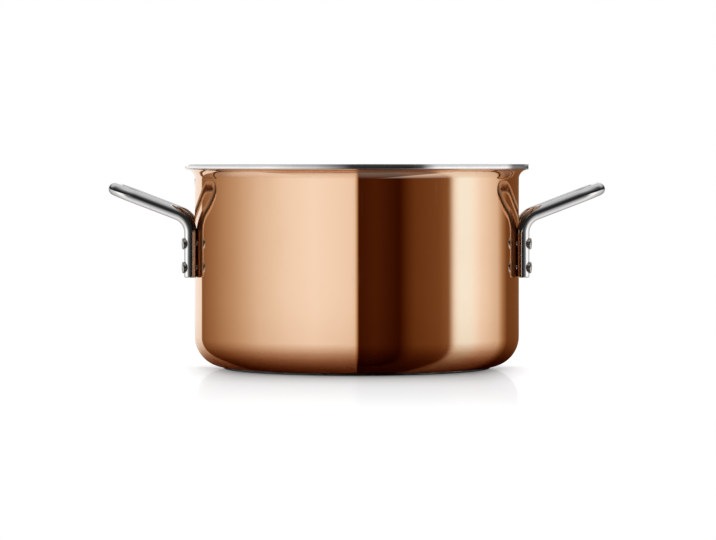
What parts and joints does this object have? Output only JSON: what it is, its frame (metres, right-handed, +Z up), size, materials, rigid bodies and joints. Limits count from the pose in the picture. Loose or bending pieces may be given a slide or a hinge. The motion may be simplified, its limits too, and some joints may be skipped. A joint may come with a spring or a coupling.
{
  "type": "stew pot",
  "caption": "Deep straight-sided copper stew pot with a steel lining, a flared rim and a riveted rod loop handle on each side.",
  "frame": {"origin": "centre of the base plate's underside, on the table", "axes": "+Z up along the pot's axis, +X through the right handle, +Y to the rear"},
  "size_m": [0.3142, 0.2178, 0.1294],
  "materials": {
    "copper": "polished",
    "aluminium": "bare",
    "polished_steel": "polished",
    "base_steel": "satin",
    "handle_steel": "polished",
    "rivet_steel": "polished"
  },
  "bodies": {
    "root": {"copper_shell": "copper", "aluminium_core": "aluminium", "steel_liner": "polished_steel", "base_plate": "base_steel", "left_handle": "handle_steel", "right_handle": "handle_steel", "left_front_lower_rivet": "rivet_steel", "left_front_upper_rivet": "rivet_steel", "left_rear_lower_rivet": "rivet_steel", "left_rear_upper_rivet": "rivet_steel", "right_front_lower_rivet": "rivet_steel", "right_front_upper_rivet": "rivet_steel", "right_rear_lower_rivet": "rivet_steel", "right_rear_upper_rivet": "rivet_steel"}
  },
  "joints": []
}
